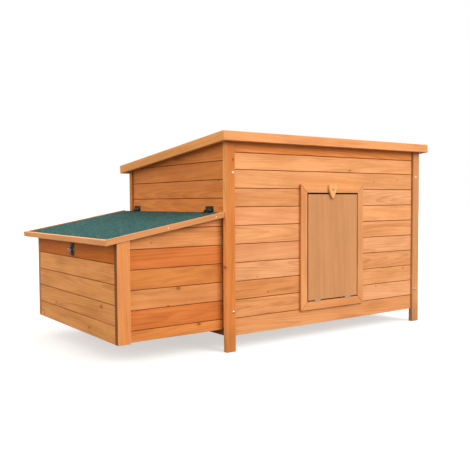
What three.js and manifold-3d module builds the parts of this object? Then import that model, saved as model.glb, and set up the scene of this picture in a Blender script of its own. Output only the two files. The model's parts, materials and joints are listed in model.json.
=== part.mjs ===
// Chicken coop: a raised planked house with a drop-down ramp door and a hinged lean-to roof,
// and a nest box with a hinged, felted lid on its left side.
// Millimetres. +X runs along the door front to the right, +Y to the rear, +Z up.
// Origin: on the ground, under the middle of the overall outline.

import * as THREE from 'three';
import { mergeVertices } from 'three/addons/utils/BufferGeometryUtils.js';
import Module from 'manifold-3d';

const wasm = await Module();
wasm.setup();

// ---------- driving dimensions ----------

const GAP = 0.3; // clearance between pieces that touch
const TILTED_GAP = 0.5; // clearance under the two sloping covers

// house
const HOUSE_LEFT = -300;
const HOUSE_RIGHT = 720;
const HOUSE_FRONT = -380;
const HOUSE_REAR = 352;
const POST_WIDTH = 38;
const POST_DEPTH = 20;
const BOARD_THICKNESS = 10;
const WALL_RECESS = 8; // wall boards stand this far behind the posts' outer faces
const WALL_BOTTOM = 55;
const BOARD_PITCH = 65;
const GROOVE_WIDTH = 3;
const GROOVE_DEPTH = 2.5;
const FRONT_FIRST_JOINT = 115.7;
const SIDE_FIRST_JOINT = 81.5;
const TOP_RAIL_BOTTOM = 695;
const WALL_DROP = 32.8; // the walls end this far below the top of the roof trim and leave a vent slot
const FLOOR_THICKNESS = 9;
const BEARER_SIZE = 20;
const PERCH = { y: -8, z: 230, width: 40, height: 28, edge: 7 };

// doorway, ramp door and turn button
const DOOR_FRAME = { left: 39.5, right: 372, bottom: 111, top: 586.5, width: 31, thickness: 10 };
const DOOR_GAP = { left: 5.5, right: 3.5, top: 5.5 };
const DOOR_THICKNESS = 10;
const DOOR_FRONT = -381;
const CLEAT = { count: 3, width: 14, height: 8, length: 236 };
const RAMP_HINGE = { centres: [124, 284], width: 30, barrel: 2, leaf: 1.2, fixed: 11, moving: 11 };
const BUTTON = { x: 196, pivot: 570, top: 588, tip: 531, lobe: 11.5, spread: 10.5, thickness: 8 };
const BUTTON_SCREW = { shaft: 2.2, bore: 2.5, head: 4.5, height: 2 };
const POST_SCREW = { x: [-271, 697], z: [140, 624], radius: 5, height: 2.4 };

// main roof, a flat frame tilted down to the rear
const ROOF = { left: -326, right: 746, front: -402.25, rear: 391, frontTop: 764.6, rearTop: 682 };
const ROOF_TRIM = { thickness: 18, height: 33.3 };
const ROOF_HINGE = { centres: [-120, 540], width: 50, barrel: 3.2, leaf: 1.5, fixed: 26, moving: 42 };

// nest box on the left wall
const NEST_LEFT = -705;
const NEST_BOTTOM = 77;
const NEST_FRONT = -369;
const NEST_POST = { width: 45, depth: 19 };
const NEST_SET_BACK = 21; // the long sides' boards stand this far behind the corner posts
const NEST_SIDE_FIRST_JOINT = 113.5;
const NEST_END_FIRST_JOINT = 136.3;
const NEST_FLOOR_BOTTOM = 80;
const NEST_DIVIDER_TOP = 300;
const NEST_ENTRY = { width: 250, bottom: 112, top: 335, offset: 168 };

// nest lid, a flat frame tilted down to the left
const LID = { outer: -746, inner: -301, front: -373, rear: 406, outerTop: 408.8, innerTop: 489.7 };
const LID_TRIM = { thickness: 10, height: 19.3 };
const LID_HINGE = { centres: [-265, 293], width: 50, barrel: 4.5, leaf: 1.4, fixed: 16, moving: 19 };

// covering of both sloping frames, measured down from the top of the trim
const FELT_DROP = 2.7;
const FELT_THICKNESS = 2;
const SHEET_THICKNESS = 12;
const SHEET_TOP = FELT_DROP + FELT_THICKNESS + GAP;
const SHEET_BOTTOM = SHEET_TOP + SHEET_THICKNESS;

// hasp between the lid and the nest box's end wall
const HASP = { x: -710.2, y: -10, width: 22, barrel: 2.6, leaf: 1.6, base: 14, length: 58 };
const HASP_SLOT = { width: 7, near: 24.5, far: 47.5 };
const STAPLE = { z: 358, width: 40, height: 18, thickness: 1.5 };
const EYE = { shaft: 2.2, bore: 2.5, length: 18, width: 4, wire: 3, front: -723, back: -711.6 };

// ---------- materials ----------

function paint(color, roughness, metalness = 0) {
  return new THREE.MeshStandardMaterial({ color, roughness, metalness });
}

const STAINED_FIR = paint(0xd98a45, 0.6);
const PLYWOOD = paint(0xc08552, 0.7);
const INNER_WOOD = paint(0xcfa070, 0.8);
const GREEN_FELT = paint(0x3f6b62, 0.95);
const ZINC = paint(0xb9babb, 0.35, 1);
const DARK_STEEL = paint(0x3a3836, 0.45, 1);

// ---------- solids ----------

function toSolid(geometry) {
  const bare = geometry.clone();
  bare.deleteAttribute('normal');
  bare.deleteAttribute('uv');
  const merged = mergeVertices(bare, 1e-4);
  return new wasm.Manifold(new wasm.Mesh({
    numProp: 3,
    vertProperties: new Float32Array(merged.attributes.position.array),
    triVerts: new Uint32Array(merged.index.array),
  }));
}

function toGeometry(solid) {
  const mesh = solid.getMesh();
  const geometry = new THREE.BufferGeometry();
  geometry.setAttribute('position', new THREE.BufferAttribute(mesh.vertProperties, 3));
  geometry.setIndex(new THREE.BufferAttribute(mesh.triVerts, 1));
  geometry.computeVertexNormals();
  return geometry;
}

function cut(geometry, tools) {
  const solid = tools.reduce((left, tool) => left.subtract(toSolid(tool)), toSolid(geometry));
  return toGeometry(solid);
}

function join(geometries) {
  const [first, ...others] = geometries;
  return toGeometry(others.reduce((sum, other) => sum.add(toSolid(other)), toSolid(first)));
}

function box(x0, x1, y0, y1, z0, z1) {
  const geometry = new THREE.BoxGeometry(x1 - x0, y1 - y0, z1 - z0);
  return geometry.translate((x0 + x1) / 2, (y0 + y1) / 2, (z0 + z1) / 2);
}

// a closed outline of [a, b] corners, extruded by depth along the shape's own normal
function extrude(corners, depth) {
  const shape = new THREE.Shape(corners.map(([a, b]) => new THREE.Vector2(a, b)));
  return new THREE.ExtrudeGeometry(shape, { depth, bevelEnabled: false });
}

// outline in X and Y, standing from z0 to z1
function planPrism(corners, z0, z1) {
  return extrude(corners, z1 - z0).translate(0, 0, z0);
}

// outline in X and Z, running from y0 to y1
function frontPrism(corners, y0, y1) {
  return extrude(corners, y1 - y0).rotateX(Math.PI / 2).translate(0, y1, 0);
}

// outline in Y and Z, running from x0 to x1
function sidePrism(corners, x0, x1) {
  const turn = new THREE.Matrix4().set(0, 0, 1, x0, 1, 0, 0, 0, 0, 1, 0, 0, 0, 0, 0, 1);
  return extrude(corners, x1 - x0).applyMatrix4(turn);
}

function cylinder(radius, length, sides = 20) {
  return new THREE.CylinderGeometry(radius, radius, length, sides);
}

// domed screw head on the XY plane, rising along +Y
function screwHead(radius, height) {
  const steps = 5;
  const profile = [new THREE.Vector2(0, 0)];
  for (let i = 0; i <= steps; i += 1) {
    const turn = (i / steps) * (Math.PI / 2);
    profile.push(new THREE.Vector2(radius * Math.cos(turn), height * Math.sin(turn)));
  }
  profile[profile.length - 1].x = 0;
  return new THREE.LatheGeometry(profile, 18);
}

// ---------- heights under the sloping covers ----------

const roofFall = (ROOF.frontTop - ROOF.rearTop) / (ROOF.rear - ROOF.front);
const roofAngle = Math.atan(roofFall);
const lidRise = (LID.innerTop - LID.outerTop) / (LID.inner - LID.outer);
const lidAngle = Math.atan(lidRise);

function underRoof(y) {
  return ROOF.frontTop - roofFall * (y - ROOF.front) - SHEET_BOTTOM / Math.cos(roofAngle) - TILTED_GAP;
}

function wallTop(y) {
  return ROOF.frontTop - roofFall * (y - ROOF.front) - WALL_DROP;
}

// depth is measured square to the lid, from the top of its trim
function underLid(x, depth = SHEET_BOTTOM) {
  return LID.outerTop + lidRise * (x - LID.outer) - depth / Math.cos(lidAngle) - TILTED_GAP;
}

// ---------- assembly helpers ----------

const coop = new THREE.Group();

function place(name, geometry, material, group = coop) {
  const mesh = new THREE.Mesh(geometry, material);
  mesh.name = name;
  group.add(mesh);
  return mesh;
}

// heights of the joints between boards, from the first one up to the top of a wall
function jointHeights(first, top) {
  const heights = [];
  for (let z = first; z < top - GROOVE_WIDTH; z += BOARD_PITCH) {
    heights.push(z);
  }
  return heights;
}

// a V groove's outline at height z, cut GROOVE_DEPTH into a face at `face`; inward is +1 or -1
function grooveOutline(face, inward, z) {
  const lip = face - inward;
  const half = GROOVE_WIDTH / 2;
  const spread = half * (1 + 1 / GROOVE_DEPTH);
  const corners = [[lip, z - spread], [face + inward * GROOVE_DEPTH, z], [lip, z + spread]];
  return inward > 0 ? corners : corners.reverse();
}

// grooves across a wall that faces front (inward +1) or rear (inward -1)
function grooveAlongX(x0, x1, faceY, inward, heights) {
  return heights.map((z) => sidePrism(grooveOutline(faceY, inward, z), x0 - 1, x1 + 1));
}

// grooves across a wall that faces left (inward +1) or right (inward -1)
function grooveAlongY(y0, y1, faceX, inward, heights) {
  return heights.map((z) => {
    const corners = grooveOutline(faceX, inward, z);
    return frontPrism(corners, y0 - 1, y1 + 1);
  });
}

// One half of a butt hinge around the X axis. The leaf starts at the barrel and runs along +Y,
// with its outer face `barrel` below the axis. `segments` lists this half's knuckles.
function hingeHalf(size, length, segments, hasPin) {
  const half = size.width / 2;
  const clear = size.barrel + 0.5;
  const inset = 0.2;
  const parts = [box(-half, half, clear, length, -size.barrel, -size.barrel + size.leaf)];
  segments.forEach(([from, to]) => {
    const x0 = -half + from * size.width + (from > 0 ? inset : 0);
    const x1 = -half + to * size.width - (to < 1 ? inset : 0);
    const knuckle = cylinder(size.barrel, x1 - x0).rotateZ(Math.PI / 2).translate((x0 + x1) / 2, 0, 0);
    parts.push(knuckle, box(x0, x1, 0, clear + 1, -size.barrel, -size.barrel + size.leaf));
  });
  const pinRadius = size.barrel * 0.45;
  const pin = cylinder(pinRadius, size.width - 1).rotateZ(Math.PI / 2);
  if (hasPin) {
    return join([...parts, pin]);
  }
  const bore = cylinder(pinRadius + 0.25, size.width + 2).rotateZ(Math.PI / 2);
  return cut(join(parts), [bore]);
}

const OUTER_KNUCKLES = [[0, 0.3], [0.7, 1]];
const MIDDLE_KNUCKLE = [[0.3, 0.7]];

function fixedLeaf(size) {
  return hingeHalf(size, size.fixed, OUTER_KNUCKLES, true);
}

function movingLeaf(size) {
  return hingeHalf(size, size.moving, MIDDLE_KNUCKLE, false);
}

// ---------- house ----------

const wallFront = HOUSE_FRONT + WALL_RECESS;
const wallRear = HOUSE_REAR - WALL_RECESS;
const wallLeft = HOUSE_LEFT + WALL_RECESS;
const wallRight = HOUSE_RIGHT - WALL_RECESS;
const innerLeft = wallLeft + BOARD_THICKNESS + GAP;
const innerRight = wallRight - BOARD_THICKNESS - GAP;
const innerFront = HOUSE_FRONT + POST_DEPTH + GAP;
const innerRear = HOUSE_REAR - POST_DEPTH - GAP;
const betweenPosts = [HOUSE_LEFT + POST_WIDTH + GAP, HOUSE_RIGHT - POST_WIDTH - GAP];
const opening = {
  left: DOOR_FRAME.left + DOOR_FRAME.width,
  right: DOOR_FRAME.right - DOOR_FRAME.width,
  bottom: DOOR_FRAME.bottom + DOOR_FRAME.width,
  top: DOOR_FRAME.top - DOOR_FRAME.width,
};

function addPosts() {
  const lefts = { left: HOUSE_LEFT, right: HOUSE_RIGHT - POST_WIDTH };
  const fronts = { front: HOUSE_FRONT, rear: HOUSE_REAR - POST_DEPTH };
  for (const [end, y] of Object.entries(fronts)) {
    for (const [side, x] of Object.entries(lefts)) {
      const top = underRoof(y + POST_DEPTH);
      place(`post_${end}_${side}`, box(x, x + POST_WIDTH, y, y + POST_DEPTH, 0, top), STAINED_FIR);
    }
  }
}

function addFrontWall() {
  const [x0, x1] = betweenPosts;
  const back = wallFront + BOARD_THICKNESS;
  const wall = box(x0, x1, wallFront, back, WALL_BOTTOM, wallTop(back));
  const doorway = box(opening.left, opening.right, wallFront - 1, back + 1, opening.bottom, opening.top);
  const heights = [...jointHeights(FRONT_FIRST_JOINT, TOP_RAIL_BOTTOM - GROOVE_WIDTH), TOP_RAIL_BOTTOM];
  place('front_wall', cut(wall, [doorway, ...grooveAlongX(x0, x1, wallFront, 1, heights)]), STAINED_FIR);
}

function addRearWall() {
  const [x0, x1] = betweenPosts;
  const top = wallTop(wallRear);
  const wall = box(x0, x1, wallRear - BOARD_THICKNESS, wallRear, WALL_BOTTOM, top);
  const grooves = grooveAlongX(x0, x1, wallRear, -1, jointHeights(FRONT_FIRST_JOINT, top));
  place('rear_wall', cut(wall, grooves), STAINED_FIR);
}

function sideWallBoard(x) {
  const corners = [
    [innerFront, WALL_BOTTOM],
    [innerRear, WALL_BOTTOM],
    [innerRear, wallTop(innerRear)],
    [innerFront, wallTop(innerFront)],
  ];
  return sidePrism(corners, x, x + BOARD_THICKNESS);
}

function addSideWalls() {
  const heights = jointHeights(SIDE_FIRST_JOINT, wallTop(innerFront));
  const leftGrooves = grooveAlongY(innerFront, innerRear, wallLeft, 1, heights);
  const nestMiddle = (NEST_FRONT + HOUSE_REAR) / 2;
  const entries = [-1, 1].map((side) => {
    const middle = nestMiddle + side * NEST_ENTRY.offset;
    const half = NEST_ENTRY.width / 2;
    const [z0, z1] = [NEST_ENTRY.bottom, NEST_ENTRY.top];
    return box(wallLeft - 1, wallLeft + BOARD_THICKNESS + 1, middle - half, middle + half, z0, z1);
  });
  place('left_wall', cut(sideWallBoard(wallLeft), [...leftGrooves, ...entries]), STAINED_FIR);
  const rightGrooves = grooveAlongY(innerFront, innerRear, wallRight, -1, heights);
  place('right_wall', cut(sideWallBoard(wallRight - BOARD_THICKNESS), rightGrooves), STAINED_FIR);
}

function addFloorAndPerch() {
  const bearerTop = WALL_BOTTOM + BEARER_SIZE;
  const floorBottom = bearerTop + GAP;
  const [x0, x1] = [innerLeft, innerRight];
  place('floor_bearer_front',
    box(x0, x1, innerFront, innerFront + BEARER_SIZE, WALL_BOTTOM, bearerTop), INNER_WOOD);
  place('floor_bearer_rear',
    box(x0, x1, innerRear - BEARER_SIZE, innerRear, WALL_BOTTOM, bearerTop), INNER_WOOD);
  place('floor_panel',
    box(x0, x1, innerFront, innerRear, floorBottom, floorBottom + FLOOR_THICKNESS), INNER_WOOD);

  const { y, z, width, height, edge } = PERCH;
  const half = width / 2;
  const corners = [
    [y - half, z], [y + half, z], [y + half, z + height - edge], [y + half - edge, z + height],
    [y - half + edge, z + height], [y - half, z + height - edge],
  ];
  place('perch_bar', sidePrism(corners, x0, x1), INNER_WOOD);
}

function addPostScrews() {
  const ends = ['left', 'right'];
  const levels = ['lower', 'upper'];
  POST_SCREW.x.forEach((x, i) => {
    POST_SCREW.z.forEach((z, k) => {
      const head = screwHead(POST_SCREW.radius, POST_SCREW.height).rotateX(Math.PI);
      place(`post_screw_${ends[i]}_${levels[k]}`, head.translate(x, HOUSE_FRONT - GAP, z), ZINC);
    });
  });
}

// ---------- doorway and ramp door ----------

function addDoorFrame() {
  const { left, right, bottom, top, thickness } = DOOR_FRAME;
  const y1 = wallFront - GAP;
  const y0 = y1 - thickness;
  const mitre = GAP; // saw gap at each mitred corner
  const pieces = {
    top: [[left + mitre, top], [opening.left + mitre, opening.top],
      [opening.right - mitre, opening.top], [right - mitre, top]],
    bottom: [[left + mitre, bottom], [right - mitre, bottom],
      [opening.right - mitre, opening.bottom], [opening.left + mitre, opening.bottom]],
    left: [[left, bottom + mitre], [opening.left, opening.bottom + mitre],
      [opening.left, opening.top - mitre], [left, top - mitre]],
    right: [[right, bottom + mitre], [right, top - mitre],
      [opening.right, opening.top - mitre], [opening.right, opening.bottom + mitre]],
  };
  for (const [side, corners] of Object.entries(pieces)) {
    place(`door_frame_${side}`, frontPrism(corners, y0, y1), STAINED_FIR);
  }
  return y0;
}

function addRampDoor(frameFront) {
  const axisZ = opening.bottom + GAP + RAMP_HINGE.barrel;
  const bottom = axisZ + RAMP_HINGE.barrel + GAP;
  const x0 = opening.left + DOOR_GAP.left;
  const x1 = opening.right - DOOR_GAP.right;
  const top = opening.top - DOOR_GAP.top;
  const back = DOOR_FRONT + DOOR_THICKNESS;
  place('ramp_panel', box(x0, x1, DOOR_FRONT, back, bottom, top), PLYWOOD);

  const middle = (x0 + x1) / 2;
  const spacing = (top - bottom) / (CLEAT.count + 1);
  for (let i = 1; i <= CLEAT.count; i += 1) {
    const z = bottom + i * spacing;
    const cleat = box(middle - CLEAT.length / 2, middle + CLEAT.length / 2,
      back + GAP, back + GAP + CLEAT.height, z - CLEAT.width / 2, z + CLEAT.width / 2);
    place(`ramp_cleat_${i}`, cleat, INNER_WOOD);
  }

  RAMP_HINGE.centres.forEach((x, i) => {
    const fixed = fixedLeaf(RAMP_HINGE).translate(x, frameFront, axisZ);
    place(`ramp_hinge_${i + 1}_frame_leaf`, fixed, ZINC);
    const moving = movingLeaf(RAMP_HINGE).scale(1, 1, -1);
    place(`ramp_hinge_${i + 1}_door_leaf`, flipped(moving).translate(x, frameFront, axisZ), ZINC);
  });
}

// a mirrored geometry with its triangles turned to face out again
function flipped(geometry) {
  const index = geometry.index.array;
  for (let i = 0; i < index.length; i += 3) {
    [index[i], index[i + 1]] = [index[i + 1], index[i]];
  }
  geometry.computeVertexNormals();
  return geometry;
}

// heart outline with its pivot at the origin and its tip pointing down
function heartShape() {
  const { lobe, spread } = BUTTON;
  const tip = BUTTON.tip - BUTTON.pivot;
  const lobeY = BUTTON.top - BUTTON.pivot - lobe;
  const notch = lobeY + Math.sqrt(lobe * lobe - spread * spread);
  const inner = Math.atan2(notch - lobeY, spread);
  const outer = -0.35;
  const shape = new THREE.Shape();
  shape.moveTo(0, tip);
  const edge = [spread + lobe * Math.cos(outer), lobeY + lobe * Math.sin(outer)];
  shape.quadraticCurveTo(edge[0] * 0.86, edge[1] - 15, edge[0], edge[1]);
  shape.absarc(spread, lobeY, lobe, outer, Math.PI - inner, false);
  shape.absarc(-spread, lobeY, lobe, inner, Math.PI - outer, false);
  shape.quadraticCurveTo(-edge[0] * 0.86, edge[1] - 15, 0, tip);
  const bore = new THREE.Path();
  bore.absarc(0, 0, BUTTON_SCREW.bore, 0, Math.PI * 2, true);
  shape.holes.push(bore);
  return shape;
}

function addTurnButton(frameFront) {
  const back = frameFront - GAP * 2;
  const settings = { depth: BUTTON.thickness, bevelEnabled: false, curveSegments: 10 };
  const heart = new THREE.ExtrudeGeometry(heartShape(), settings).rotateX(Math.PI / 2);
  place('turn_button', heart.translate(BUTTON.x, back, BUTTON.pivot), STAINED_FIR);

  const front = back - BUTTON.thickness - GAP;
  const shaftLength = frameFront - GAP - front + 0.5;
  const shaft = cylinder(BUTTON_SCREW.shaft, shaftLength, 16);
  shaft.translate(0, frameFront - GAP - shaftLength / 2, 0);
  const head = screwHead(BUTTON_SCREW.head, BUTTON_SCREW.height).rotateX(Math.PI).translate(0, front, 0);
  place('turn_button_screw', join([shaft, head]).translate(BUTTON.x, 0, BUTTON.pivot), ZINC);
}

// ---------- sloping frames ----------

// four mitred trim boards round a rectangle, standing from z = -height to z = 0
function trimOutlines(x0, x1, y0, y1, thickness) {
  const t = thickness;
  const m = GAP / 2;
  return {
    front: [[x0 + m, y0], [x1 - m, y0], [x1 - t - m, y0 + t], [x0 + t + m, y0 + t]],
    rear: [[x0 + m, y1], [x0 + t + m, y1 - t], [x1 - t - m, y1 - t], [x1 - m, y1]],
    left: [[x0, y0 + m], [x0 + t, y0 + t + m], [x0 + t, y1 - t - m], [x0, y1 - m]],
    right: [[x1, y0 + m], [x1, y1 - m], [x1 - t, y1 - t - m], [x1 - t, y0 + t + m]],
  };
}

function addRoof() {
  const roof = new THREE.Group();
  roof.position.set(0, ROOF.front, ROOF.frontTop);
  roof.rotation.x = -roofAngle;
  coop.add(roof);
  const run = (ROOF.rear - ROOF.front) / Math.cos(roofAngle);
  const { thickness, height } = ROOF_TRIM;
  const outlines = trimOutlines(ROOF.left, ROOF.right, 0, run, thickness);
  for (const [side, corners] of Object.entries(outlines)) {
    place(`roof_fascia_${side}`, planPrism(corners, -height, 0), STAINED_FIR, roof);
  }
  const inset = thickness + GAP;
  const [x0, x1, y0, y1] = [ROOF.left + inset, ROOF.right - inset, inset, run - inset];
  place('roof_sheet', box(x0, x1, y0, y1, -SHEET_BOTTOM, -SHEET_TOP), INNER_WOOD, roof);
  place('roof_felt', box(x0, x1, y0, y1, -FELT_DROP - FELT_THICKNESS, -FELT_DROP), GREEN_FELT, roof);

  // hinge line: just behind the rear wall and just below the rear fascia
  const axisY = wallRear + GAP + ROOF_HINGE.barrel;
  const drop = height + GAP + ROOF_HINGE.barrel;
  const along = axisY - ROOF.front;
  const axisZ = ROOF.frontTop - (drop + along * Math.sin(roofAngle)) / Math.cos(roofAngle);
  ROOF_HINGE.centres.forEach((x, i) => {
    const fixed = fixedLeaf(ROOF_HINGE).rotateX(-Math.PI / 2);
    place(`roof_hinge_${i + 1}_wall_leaf`, fixed.translate(x, axisY, axisZ), DARK_STEEL);
    const moving = flipped(movingLeaf(ROOF_HINGE).scale(1, 1, -1)).rotateX(-roofAngle);
    place(`roof_hinge_${i + 1}_roof_leaf`, moving.translate(x, axisY, axisZ), DARK_STEEL);
  });
}

function addNestLid() {
  const lid = new THREE.Group();
  lid.position.set(LID.inner, 0, LID.innerTop);
  lid.rotation.y = -lidAngle;
  coop.add(lid);
  const run = (LID.inner - LID.outer) / Math.cos(lidAngle);
  const { thickness, height } = LID_TRIM;
  // the lid has no trim along the house wall: everything there is cut off plumb
  const beyond = thickness * 2;
  const low = -height - 1;
  const wallSide = frontPrism(
    [[low * lidRise, low], [beyond + 1, low], [beyond + 1, 1], [lidRise, 1]], LID.front - 1, LID.rear + 1);
  const addPiece = (name, geometry, material) => place(name, cut(geometry, [wallSide]), material, lid);

  const outlines = trimOutlines(-run, beyond, LID.front, LID.rear, thickness);
  addPiece('lid_fascia_front', planPrism(outlines.front, -height, 0), STAINED_FIR);
  addPiece('lid_fascia_rear', planPrism(outlines.rear, -height, 0), STAINED_FIR);
  place('lid_fascia_outer', planPrism(outlines.left, -height, 0), STAINED_FIR, lid);
  const inset = thickness + GAP;
  const [x0, y0, y1] = [-run + inset, LID.front + inset, LID.rear - inset];
  const feltBottom = -FELT_DROP - FELT_THICKNESS;
  addPiece('lid_sheet', box(x0, thickness, y0, y1, -SHEET_BOTTOM, -SHEET_TOP), INNER_WOOD);
  addPiece('lid_felt', box(x0, thickness, y0, y1, feltBottom, -FELT_DROP), GREEN_FELT);

  // hinge line: just left of the wall boards, on the felt
  const axisX = wallLeft - GAP - LID_HINGE.barrel;
  const rise = LID_HINGE.barrel + GAP - FELT_DROP;
  const axisZ = LID.innerTop + (rise + (axisX - LID.inner) * Math.sin(lidAngle)) / Math.cos(lidAngle);
  LID_HINGE.centres.forEach((y, i) => {
    // fixed leaf: up the wall; moving leaf: out along the lid
    const fixed = fixedLeaf(LID_HINGE).rotateX(Math.PI / 2).rotateZ(-Math.PI / 2);
    place(`lid_hinge_${i + 1}_wall_leaf`, fixed.translate(axisX, y, axisZ), DARK_STEEL);
    const moving = movingLeaf(LID_HINGE).rotateZ(Math.PI / 2).rotateY(-lidAngle);
    place(`lid_hinge_${i + 1}_lid_leaf`, moving.translate(axisX, y, axisZ), DARK_STEEL);
  });
}

// ---------- nest box ----------

const nestRear = HOUSE_REAR;
const sideFront = NEST_FRONT + NEST_SET_BACK;
const sideRear = nestRear - NEST_SET_BACK;
const endInner = NEST_LEFT + BOARD_THICKNESS + GAP;
const nestRight = wallLeft - GAP;

function addNestPosts() {
  const ends = { front: NEST_FRONT, rear: nestRear - NEST_POST.depth };
  const right = NEST_LEFT + NEST_POST.width;
  for (const [end, y] of Object.entries(ends)) {
    // the posts stop under the lid's trim, which overhangs them
    const corners = [
      [NEST_LEFT, NEST_BOTTOM],
      [right, NEST_BOTTOM],
      [right, underLid(right, LID_TRIM.height)],
      [NEST_LEFT, underLid(NEST_LEFT, LID_TRIM.height)],
    ];
    place(`nest_post_${end}`, frontPrism(corners, y, y + NEST_POST.depth), STAINED_FIR);
  }
}

function addNestWalls() {
  const heights = jointHeights(NEST_SIDE_FIRST_JOINT, underLid(nestRight));
  const corners = [
    [endInner, NEST_BOTTOM],
    [nestRight, NEST_BOTTOM],
    [nestRight, underLid(nestRight)],
    [endInner, underLid(endInner)],
  ];
  const front = frontPrism(corners, sideFront, sideFront + BOARD_THICKNESS);
  const frontGrooves = grooveAlongX(endInner, nestRight, sideFront, 1, heights);
  place('nest_front_wall', cut(front, frontGrooves), STAINED_FIR);
  const rear = frontPrism(corners, sideRear - BOARD_THICKNESS, sideRear);
  const rearGrooves = grooveAlongX(endInner, nestRight, sideRear, -1, heights);
  place('nest_rear_wall', cut(rear, rearGrooves), STAINED_FIR);

  const y0 = NEST_FRONT + NEST_POST.depth + GAP;
  const y1 = nestRear - NEST_POST.depth - GAP;
  const outline = [
    [NEST_LEFT, NEST_BOTTOM],
    [NEST_LEFT + BOARD_THICKNESS, NEST_BOTTOM],
    [NEST_LEFT + BOARD_THICKNESS, underLid(NEST_LEFT + BOARD_THICKNESS)],
    [NEST_LEFT, underLid(NEST_LEFT)],
  ];
  const endHeights = jointHeights(NEST_END_FIRST_JOINT, underLid(NEST_LEFT));
  const endGrooves = grooveAlongY(y0, y1, NEST_LEFT, 1, endHeights);
  place('nest_end_wall', cut(frontPrism(outline, y0, y1), endGrooves), STAINED_FIR);
}

function addNestInside() {
  const y0 = sideFront + BOARD_THICKNESS + GAP;
  const y1 = sideRear - BOARD_THICKNESS - GAP;
  const floorTop = NEST_FLOOR_BOTTOM + FLOOR_THICKNESS;
  place('nest_floor', box(endInner, nestRight, y0, y1, NEST_FLOOR_BOTTOM, floorTop), INNER_WOOD);
  const middle = (NEST_FRONT + nestRear) / 2;
  const half = FLOOR_THICKNESS / 2;
  const divider = box(endInner, nestRight, middle - half, middle + half, floorTop + GAP, NEST_DIVIDER_TOP);
  place('nest_divider', divider, INNER_WOOD);
}

// ---------- hasp ----------

function addHasp() {
  const size = { width: HASP.width, barrel: HASP.barrel, leaf: HASP.leaf };
  const axisZ = underLid(HASP.x) - HASP.barrel;
  const base = hingeHalf(size, HASP.base, OUTER_KNUCKLES, true).scale(1, 1, -1);
  const placedBase = flipped(base).rotateZ(Math.PI / 2).rotateY(-lidAngle);
  place('hasp_base', placedBase.translate(HASP.x, HASP.y, axisZ), DARK_STEEL);

  const slot = box(-HASP_SLOT.width / 2, HASP_SLOT.width / 2, HASP_SLOT.near, HASP_SLOT.far, -10, 10);
  const strap = cut(hingeHalf(size, HASP.length, MIDDLE_KNUCKLE, false), [slot]);
  // hang the strap down from its knuckle, with its leaf on the wall's side of the axis
  const hung = strap.rotateX(-Math.PI / 2).rotateZ(Math.PI / 2);
  place('hasp_strap', hung.translate(HASP.x, HASP.y, axisZ), DARK_STEEL);

  const plateRight = NEST_LEFT - GAP;
  const plateLeft = plateRight - STAPLE.thickness;
  const [y, z] = [HASP.y, STAPLE.z];
  const plate = box(plateLeft, plateRight, y - STAPLE.width / 2, y + STAPLE.width / 2,
    z - STAPLE.height / 2, z + STAPLE.height / 2);
  const bore = cylinder(EYE.bore, 8).rotateZ(Math.PI / 2).translate(plateLeft, y, z);
  place('hasp_plate', cut(plate, [bore]), ZINC);

  // the swivel eye stands upright at rest, so that it passes through the strap's slot
  const shaftEnd = plateRight - GAP;
  const shaftLength = shaftEnd - EYE.back + 1;
  const shaft = cylinder(EYE.shaft, shaftLength, 16).rotateZ(Math.PI / 2);
  shaft.translate(shaftEnd - shaftLength / 2, y, z);
  const middle = (EYE.front + EYE.back) / 2;
  const eye = eyeRing(middle - EYE.front, EYE.length / 2, EYE.wire).translate(middle, y, z);
  place('hasp_knob', join([shaft, eye]), ZINC);
}

// an oval ring in the XZ plane, EYE.width thick
function eyeRing(halfX, halfZ, wire) {
  const shape = new THREE.Shape();
  shape.absellipse(0, 0, halfX, halfZ, 0, Math.PI * 2, false, 0);
  const hole = new THREE.Path();
  hole.absellipse(0, 0, halfX - wire, halfZ - wire, 0, Math.PI * 2, true, 0);
  shape.holes.push(hole);
  const ring = new THREE.ExtrudeGeometry(shape, { depth: EYE.width, bevelEnabled: false, curveSegments: 12 });
  return ring.rotateX(Math.PI / 2).translate(0, EYE.width / 2, 0);
}

// ---------- build ----------

addPosts();
addFrontWall();
addRearWall();
addSideWalls();
addFloorAndPerch();
addPostScrews();
const doorFrameFront = addDoorFrame();
addRampDoor(doorFrameFront);
addTurnButton(doorFrameFront);
addRoof();
addNestPosts();
addNestWalls();
addNestInside();
addNestLid();
addHasp();

export default coop;
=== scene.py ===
"""Looks for the chicken coop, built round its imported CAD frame. Metres, +Z up."""

import json
import math
import random

import bmesh
import bpy
from mathutils import Matrix, Vector, noise


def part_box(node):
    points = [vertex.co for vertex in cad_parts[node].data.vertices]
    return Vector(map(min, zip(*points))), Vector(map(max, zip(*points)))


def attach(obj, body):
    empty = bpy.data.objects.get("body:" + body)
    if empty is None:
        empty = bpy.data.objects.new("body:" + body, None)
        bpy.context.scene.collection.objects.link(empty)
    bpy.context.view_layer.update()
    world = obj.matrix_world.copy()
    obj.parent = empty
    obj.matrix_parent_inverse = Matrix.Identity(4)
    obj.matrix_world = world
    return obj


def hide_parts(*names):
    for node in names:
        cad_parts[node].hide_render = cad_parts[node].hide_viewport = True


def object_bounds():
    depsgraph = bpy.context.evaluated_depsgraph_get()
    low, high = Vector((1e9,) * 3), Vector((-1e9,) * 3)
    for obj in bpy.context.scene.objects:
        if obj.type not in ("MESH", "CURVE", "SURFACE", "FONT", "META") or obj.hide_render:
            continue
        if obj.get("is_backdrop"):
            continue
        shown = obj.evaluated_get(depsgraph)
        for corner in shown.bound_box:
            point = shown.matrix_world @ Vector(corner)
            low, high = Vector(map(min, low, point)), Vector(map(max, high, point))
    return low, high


MM = 0.001

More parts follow.
